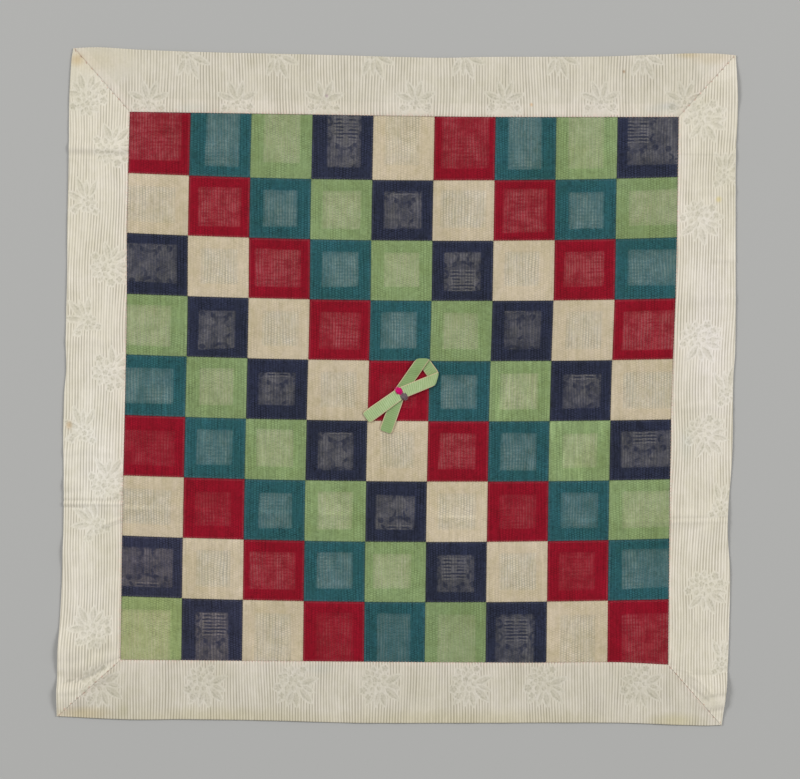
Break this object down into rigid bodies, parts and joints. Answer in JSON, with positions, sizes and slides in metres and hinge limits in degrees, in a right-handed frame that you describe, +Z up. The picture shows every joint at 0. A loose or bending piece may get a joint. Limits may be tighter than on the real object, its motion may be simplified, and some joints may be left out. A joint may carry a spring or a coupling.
{
  "type": "pojagi wrapping cloth",
  "caption": "Square patchwork wrapping cloth with a wide mitred border and a small ribbon loop tacked to its middle, lying flat.",
  "frame": {"origin": "middle of the cloth in plan, at the height of the surface it lies on", "axes": "+Z up out of the face of the cloth, +Y towards its top edge, +X to the right"},
  "size_m": [0.6188, 0.6164, 0.0062],
  "materials": {
    "patchwork_gauze": "matte sheer gauze in five colours",
    "cream_damask": "matte ribbed damask",
    "green_ribbon": "matte ribbed ribbon",
    "pink_thread": "silky thread",
    "grey_thread": "silky thread"
  },
  "bodies": {
    "root": {"patchwork_panel": "patchwork_gauze", "border_top": "cream_damask", "border_bottom": "cream_damask", "border_left": "cream_damask", "border_right": "cream_damask", "ribbon_loop": "green_ribbon", "tack_pink": "pink_thread", "tack_grey": "grey_thread"}
  },
  "joints": []
}
